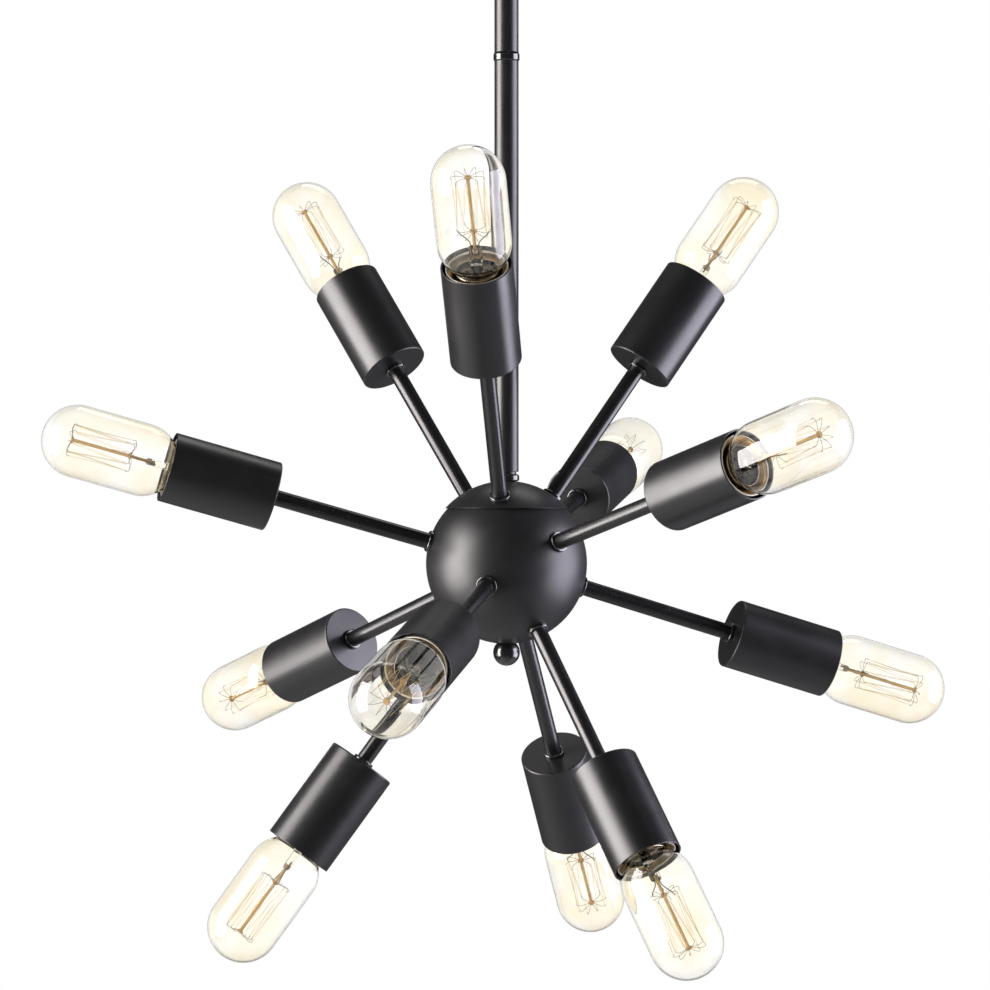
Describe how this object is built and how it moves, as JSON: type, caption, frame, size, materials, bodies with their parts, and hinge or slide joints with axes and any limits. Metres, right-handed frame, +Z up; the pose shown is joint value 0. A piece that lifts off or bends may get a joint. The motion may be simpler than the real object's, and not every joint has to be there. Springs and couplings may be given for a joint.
{
  "type": "sputnik chandelier",
  "caption": "Black sputnik chandelier: a split ball on a coupled rod, arms ending in cylindrical cups with clear tubular filament lamps, hung from a canopy by a swivel.",
  "frame": {"origin": "centre of the ceiling plane, on the rod's axis, where the crossbar and canopy touch the ceiling", "axes": "+Z up along the rod, +X to the right in the picture's view, +Y away from it"},
  "size_m": [0.5672, 0.5605, 0.8796],
  "materials": {
    "satin_black": "satin powder coat",
    "gloss_black": "glossy black enamel",
    "zinc_steel": "bright zinc plate",
    "lampholder": "glazed porcelain",
    "brass": "lacquered brass",
    "bulb_cap": "rolled brass",
    "bulb_insulator": "black vitrified glass",
    "clear_glass": "clear, faint champagne tint"
  },
  "bodies": {
    "ceiling_mount": {"canopy": "satin_black", "crossbar": "zinc_steel", "canopy_screws": "zinc_steel", "canopy_cap_nuts": "gloss_black", "hanger_nut": "zinc_steel", "swivel_clevis": "satin_black", "swivel_pin": "gloss_black"},
    "chandelier": {"swivel_eye": "satin_black", "stem_upper": "satin_black", "stem_coupler": "gloss_black", "stem_lower": "satin_black", "stem_collar": "gloss_black", "centre_rod": "zinc_steel", "rod_nut": "zinc_steel", "sphere_lid": "satin_black", "sphere_body": "satin_black", "finial": "gloss_black", "arms": "satin_black", "arm_collars": "gloss_black", "arm_nuts": "zinc_steel", "cups": "satin_black", "sockets": "lampholder", "socket_shells": "brass", "socket_contacts": "brass"},
    "bulb_01_foot": {"bulb_contact_01": "bulb_insulator"},
    "bulb_01": {"bulb_cap_01": "bulb_cap", "bulb_glass_01": "clear_glass"},
    "bulb_02_foot": {"bulb_contact_02": "bulb_insulator"},
    "bulb_02": {"bulb_cap_02": "bulb_cap", "bulb_glass_02": "clear_glass"},
    "bulb_03_foot": {"bulb_contact_03": "bulb_insulator"},
    "bulb_03": {"bulb_cap_03": "bulb_cap", "bulb_glass_03": "clear_glass"},
    "bulb_04_foot": {"bulb_contact_04": "bulb_insulator"},
    "bulb_04": {"bulb_cap_04": "bulb_cap", "bulb_glass_04": "clear_glass"},
    "bulb_05_foot": {"bulb_contact_05": "bulb_insulator"},
    "bulb_05": {"bulb_cap_05": "bulb_cap", "bulb_glass_05": "clear_glass"},
    "bulb_06_foot": {"bulb_contact_06": "bulb_insulator"},
    "bulb_06": {"bulb_cap_06": "bulb_cap", "bulb_glass_06": "clear_glass"},
    "bulb_07_foot": {"bulb_contact_07": "bulb_insulator"},
    "bulb_07": {"bulb_cap_07": "bulb_cap", "bulb_glass_07": "clear_glass"},
    "bulb_08_foot": {"bulb_contact_08": "bulb_insulator"},
    "bulb_08": {"bulb_cap_08": "bulb_cap", "bulb_glass_08": "clear_glass"},
    "bulb_09_foot": {"bulb_contact_09": "bulb_insulator"},
    "bulb_09": {"bulb_cap_09": "bulb_cap", "bulb_glass_09": "clear_glass"},
    "bulb_10_foot": {"bulb_contact_10": "bulb_insulator"},
    "bulb_10": {"bulb_cap_10": "bulb_cap", "bulb_glass_10": "clear_glass"},
    "bulb_11_foot": {"bulb_contact_11": "bulb_insulator"},
    "bulb_11": {"bulb_cap_11": "bulb_cap", "bulb_glass_11": "clear_glass"},
    "bulb_12_foot": {"bulb_contact_12": "bulb_insulator"},
    "bulb_12": {"bulb_cap_12": "bulb_cap", "bulb_glass_12": "clear_glass"}
  },
  "joints": [
    {"name": "stem_tilt", "type": "hinge", "parent": "ceiling_mount", "child": "chandelier", "pos_m": [0, 0, -0.0385], "axis": [0, 1, 0], "range_deg": [-45, 45]},
    {"name": "bulb_01_travel", "type": "slide", "parent": "chandelier", "child": "bulb_01_foot", "axis": [-0.4667, 0.362, 0.807], "range_m": [0, 0.02]},
    {"name": "bulb_01_turn", "type": "hinge", "parent": "bulb_01_foot", "child": "bulb_01", "pos_m": [0, 0, -0.6325], "axis": [-0.4667, 0.362, 0.807], "range_deg": [0, 1980]},
    {"name": "bulb_02_travel", "type": "slide", "parent": "chandelier", "child": "bulb_02_foot", "axis": [-0.0802, -0.5851, 0.807], "range_m": [0, 0.02]},
    {"name": "bulb_02_turn", "type": "hinge", "parent": "bulb_02_foot", "child": "bulb_02", "pos_m": [0, 0, -0.6325], "axis": [-0.0802, -0.5851, 0.807], "range_deg": [0, 1980]},
    {"name": "bulb_03_travel", "type": "slide", "parent": "chandelier", "child": "bulb_03_foot", "axis": [0.5468, 0.2232, 0.807], "range_m": [0, 0.02]},
    {"name": "bulb_03_turn", "type": "hinge", "parent": "bulb_03_foot", "child": "bulb_03", "pos_m": [0, 0, -0.6325], "axis": [0.5468, 0.2232, 0.807], "range_deg": [0, 1980]},
    {"name": "bulb_04_travel", "type": "slide", "parent": "chandelier", "child": "bulb_04_foot", "axis": [0.3055, 0.9129, 0.2706], "range_m": [0, 0.02]},
    {"name": "bulb_04_turn", "type": "hinge", "parent": "bulb_04_foot", "child": "bulb_04", "pos_m": [0, 0, -0.6325], "axis": [0.3055, 0.9129, 0.2706], "range_deg": [0, 1980]},
    {"name": "bulb_05_travel", "type": "slide", "parent": "chandelier", "child": "bulb_05_foot", "axis": [-0.9434, -0.1919, 0.2706], "range_m": [0, 0.02]},
    {"name": "bulb_05_turn", "type": "hinge", "parent": "bulb_05_foot", "child": "bulb_05", "pos_m": [0, 0, -0.6325], "axis": [-0.9434, -0.1919, 0.2706], "range_deg": [0, 1980]},
    {"name": "bulb_06_travel", "type": "slide", "parent": "chandelier", "child": "bulb_06_foot", "axis": [0.6379, -0.721, 0.2706], "range_m": [0, 0.02]},
    {"name": "bulb_06_turn", "type": "hinge", "parent": "bulb_06_foot", "child": "bulb_06", "pos_m": [0, 0, -0.6325], "axis": [0.6379, -0.721, 0.2706], "range_deg": [0, 1980]},
    {"name": "bulb_07_travel", "type": "slide", "parent": "chandelier", "child": "bulb_07_foot", "axis": [0.9284, 0.2315, -0.2907], "range_m": [0, 0.02]},
    {"name": "bulb_07_turn", "type": "hinge", "parent": "bulb_07_foot", "child": "bulb_07", "pos_m": [0, 0, -0.6325], "axis": [0.9284, 0.2315, -0.2907], "range_deg": [0, 1980]},
    {"name": "bulb_08_travel", "type": "slide", "parent": "chandelier", "child": "bulb_08_foot", "axis": [-0.6556, 0.6789, -0.3305], "range_m": [0, 0.02]},
    {"name": "bulb_08_turn", "type": "hinge", "parent": "bulb_08_foot", "child": "bulb_08", "pos_m": [0, 0, -0.6325], "axis": [-0.6556, 0.6789, -0.3305], "range_deg": [0, 1980]},
    {"name": "bulb_09_travel", "type": "slide", "parent": "chandelier", "child": "bulb_09_foot", "axis": [-0.2382, -0.9347, -0.2639], "range_m": [0, 0.02]},
    {"name": "bulb_09_turn", "type": "hinge", "parent": "bulb_09_foot", "child": "bulb_09", "pos_m": [0, 0, -0.6325], "axis": [-0.2382, -0.9347, -0.2639], "range_deg": [0, 1980]},
    {"name": "bulb_10_travel", "type": "slide", "parent": "chandelier", "child": "bulb_10_foot", "axis": [0.2, 0.5587, -0.8049], "range_m": [0, 0.02]},
    {"name": "bulb_10_turn", "type": "hinge", "parent": "bulb_10_foot", "child": "bulb_10", "pos_m": [0, 0, -0.6325], "axis": [0.2, 0.5587, -0.8049], "range_deg": [0, 1980]},
    {"name": "bulb_11_travel", "type": "slide", "parent": "chandelier", "child": "bulb_11_foot", "axis": [-0.5839, -0.1061, -0.8049], "range_m": [0, 0.02]},
    {"name": "bulb_11_turn", "type": "hinge", "parent": "bulb_11_foot", "child": "bulb_11", "pos_m": [0, 0, -0.6325], "axis": [-0.5839, -0.1061, -0.8049], "range_deg": [0, 1980]},
    {"name": "bulb_12_travel", "type": "slide", "parent": "chandelier", "child": "bulb_12_foot", "axis": [0.3838, -0.4526, -0.8049], "range_m": [0, 0.02]},
    {"name": "bulb_12_turn", "type": "hinge", "parent": "bulb_12_foot", "child": "bulb_12", "pos_m": [0, 0, -0.6325], "axis": [0.3838, -0.4526, -0.8049], "range_deg": [0, 1980]}
  ],
  "couplings": [
    {"joint": "bulb_01_travel", "follows": "bulb_01_turn", "m_per_rad": 0.00057751},
    {"joint": "bulb_02_travel", "follows": "bulb_02_turn", "m_per_rad": 0.00057751},
    {"joint": "bulb_03_travel", "follows": "bulb_03_turn", "m_per_rad": 0.00057751},
    {"joint": "bulb_04_travel", "follows": "bulb_04_turn", "m_per_rad": 0.00057751},
    {"joint": "bulb_05_travel", "follows": "bulb_05_turn", "m_per_rad": 0.00057751},
    {"joint": "bulb_06_travel", "follows": "bulb_06_turn", "m_per_rad": 0.00057751},
    {"joint": "bulb_07_travel", "follows": "bulb_07_turn", "m_per_rad": 0.00057751},
    {"joint": "bulb_08_travel", "follows": "bulb_08_turn", "m_per_rad": 0.00057751},
    {"joint": "bulb_09_travel", "follows": "bulb_09_turn", "m_per_rad": 0.00057751},
    {"joint": "bulb_10_travel", "follows": "bulb_10_turn", "m_per_rad": 0.00057751},
    {"joint": "bulb_11_travel", "follows": "bulb_11_turn", "m_per_rad": 0.00057751},
    {"joint": "bulb_12_travel", "follows": "bulb_12_turn", "m_per_rad": 0.00057751}
  ]
}
